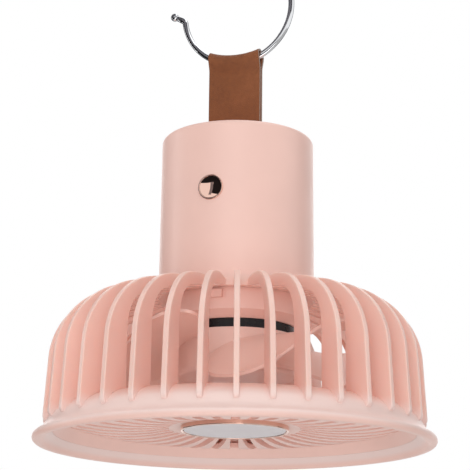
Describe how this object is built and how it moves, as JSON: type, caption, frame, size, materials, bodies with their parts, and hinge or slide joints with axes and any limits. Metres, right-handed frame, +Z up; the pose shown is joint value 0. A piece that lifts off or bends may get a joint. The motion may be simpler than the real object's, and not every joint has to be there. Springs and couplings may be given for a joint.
{
  "type": "portable hanging fan",
  "caption": "Caged axial fan under a round battery housing with a push button, hung by a leather strap loop from a wire S-hook.",
  "frame": {"origin": "where the hook's upper bowl bears on the rail it hangs from: the inner top of the wire", "axes": "+Z up, along the fan's own axis; -Y is the side with the power button; the hook and the strap lie in the XZ plane"},
  "size_m": [0.1716, 0.1716, 0.2769],
  "materials": {
    "hook_steel": "bright nickel",
    "strap_leather": "smooth",
    "inner_steel": "satin",
    "body_pink": "fine satin",
    "plate_grey": "satin",
    "rose_chrome": "rose gold plating",
    "brass": "machined",
    "copper": "enamelled wire",
    "magnet": "sintered",
    "black_steel": "gloss black",
    "cell_sleeve": "shrink sleeve",
    "inner_plastic": "moulded",
    "board_green": "lacquered",
    "inner_black": "moulded"
  },
  "bodies": {
    "hook": {"s_hook": "hook_steel"},
    "strap": {"leather_strap": "strap_leather"},
    "housing": {"strap_bar": "inner_steel", "battery_housing": "body_pink", "fan_cage": "body_pink", "front_grille": "body_pink", "hub_plate": "plate_grey", "hub_trim_ring": "rose_chrome", "motor_holder": "body_pink", "motor_bush": "brass", "motor_bearings": "inner_steel", "stator_core": "inner_steel", "stator_windings": "copper", "battery_cells": "cell_sleeve", "battery_tray": "inner_plastic", "control_board": "board_green", "board_screws": "inner_steel", "charge_board": "board_green", "usb_socket": "inner_steel", "tact_switch": "inner_black", "button_bezel": "rose_chrome", "holder_screws": "inner_steel", "motor_screws": "inner_steel"},
    "impeller": {"impeller": "body_pink", "rotor_can": "black_steel", "magnet_ring": "magnet", "motor_shaft": "inner_steel", "shaft_clip": "inner_steel"},
    "button": {"power_button": "rose_chrome", "switch_plunger": "inner_black"}
  },
  "joints": [
    {"name": "strap_swing", "type": "hinge", "parent": "hook", "child": "strap", "pos_m": [0, 0, -0.09965], "axis": [1, 0, 0], "range_deg": [-20, 20]},
    {"name": "housing_swing", "type": "hinge", "parent": "strap", "child": "housing", "pos_m": [0, 0, -0.14225], "axis": [1, 0, 0], "range_deg": [-25, 25]},
    {"name": "impeller_spin", "type": "hinge", "parent": "housing", "child": "impeller", "pos_m": [0, 0, -0.23355], "axis": [0, 0, 1], "continuous": true},
    {"name": "button_press", "type": "slide", "parent": "housing", "child": "button", "axis": [0, 1, 0], "range_m": [0, 0.0009], "stiffness_N_per_m": 400}
  ]
}
